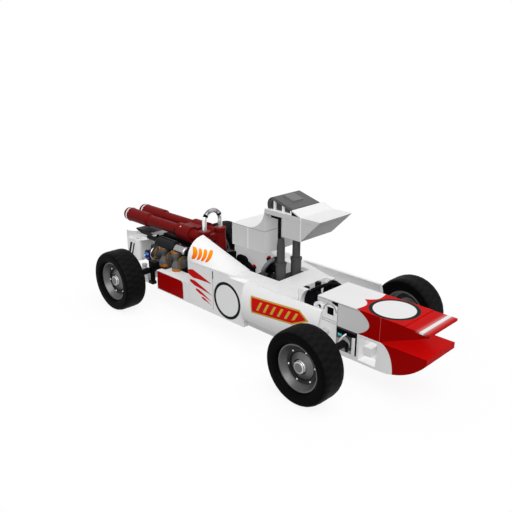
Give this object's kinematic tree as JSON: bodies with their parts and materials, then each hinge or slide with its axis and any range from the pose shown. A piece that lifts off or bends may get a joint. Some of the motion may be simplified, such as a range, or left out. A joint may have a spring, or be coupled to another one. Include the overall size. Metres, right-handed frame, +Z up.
{
  "type": "toy racing car",
  "caption": "Brick-built toy open-wheel racing car with a cowl raised on posts, an open engine and free-turning wheels.",
  "frame": {"origin": "on the ground, midway between the axles, on the centreline", "axes": "+X towards the nose, +Y to the car's left, +Z up"},
  "size_m": [0.304, 0.13, 0.1051],
  "materials": {
    "tyre_rubber": "black moulded rubber with shallow block tread",
    "rim_metal": "dark metallic moulded plastic",
    "axle_grey": "grey moulded plastic",
    "white_plastic": "white moulded plastic, partly painted",
    "red_plastic": "red moulded plastic",
    "dark_red_plastic": "dark red moulded plastic",
    "dark_grey_plastic": "dark grey moulded plastic",
    "black_plastic": "black moulded plastic",
    "grey_plastic": "mid grey moulded plastic",
    "copper_plastic": "copper-coloured plastic",
    "brown_plastic": "brown metallic plastic",
    "chrome": "chromed plastic",
    "blue_lens": "deep blue polished plastic"
  },
  "bodies": {
    "chassis": {"cowl_brackets": "black_plastic", "cowl_deck": "white_plastic", "cowl_pillars": "white_plastic", "cowl_rear": "white_plastic", "cowl_roof": "dark_grey_plastic", "cowl_walls": "white_plastic", "cylinder_discs": "brown_plastic", "cylinder_rings": "copper_plastic", "cylinders": "dark_grey_plastic", "dash_block": "black_plastic", "deck_tile": "white_plastic", "engine_block": "black_plastic", "exhaust_pipes": "dark_red_plastic", "exhaust_rings": "chrome", "fairings": "white_plastic", "floor_plate": "white_plastic", "front_carrier": "dark_grey_plastic", "head_caps": "chrome", "heads": "dark_grey_plastic", "hinge_beams": "white_plastic", "hood_block": "white_plastic", "hood_tile": "white_plastic", "hoop_cups": "dark_red_plastic", "lenses": "blue_lens", "levers": "black_plastic", "linkage": "black_plastic", "manifold": "dark_red_plastic", "nose_bracket": "white_plastic", "nose_lower": "red_plastic", "nose_wedge": "red_plastic", "pod_pins": "black_plastic", "pods": "white_plastic", "post_bases": "dark_grey_plastic", "post_rods": "dark_grey_plastic", "rear_bars": "chrome", "rear_cowl": "white_plastic", "rear_fin": "black_plastic", "rear_frame": "dark_grey_plastic", "rear_uprights": "grey_plastic", "roll_hoop": "chrome", "seat": "black_plastic", "side_boxes": "white_plastic", "side_panels": "red_plastic", "side_walls": "white_plastic", "steering_column": "black_plastic", "steering_ring": "grey_plastic", "tub_walls": "white_plastic"},
    "wheel_front_left": {"tyre_front_left": "tyre_rubber", "rim_front_left": "rim_metal", "axle_front_left": "axle_grey"},
    "wheel_front_right": {"tyre_front_right": "tyre_rubber", "rim_front_right": "rim_metal", "axle_front_right": "axle_grey"},
    "wheel_rear_left": {"tyre_rear_left": "tyre_rubber", "rim_rear_left": "rim_metal", "axle_rear_left": "axle_grey"},
    "wheel_rear_right": {"tyre_rear_right": "tyre_rubber", "rim_rear_right": "rim_metal", "axle_rear_right": "axle_grey"}
  },
  "joints": [
    {"name": "spin_front_left", "type": "hinge", "parent": "chassis", "child": "wheel_front_left", "pos_m": [0.096, 0.056, 0.0236], "axis": [0, 1, 0], "continuous": true},
    {"name": "spin_front_right", "type": "hinge", "parent": "chassis", "child": "wheel_front_right", "pos_m": [0.096, -0.056, 0.0236], "axis": [0, 1, 0], "continuous": true},
    {"name": "spin_rear_left", "type": "hinge", "parent": "chassis", "child": "wheel_rear_left", "pos_m": [-0.096, 0.056, 0.0236], "axis": [0, 1, 0], "continuous": true},
    {"name": "spin_rear_right", "type": "hinge", "parent": "chassis", "child": "wheel_rear_right", "pos_m": [-0.096, -0.056, 0.0236], "axis": [0, 1, 0], "continuous": true}
  ]
}
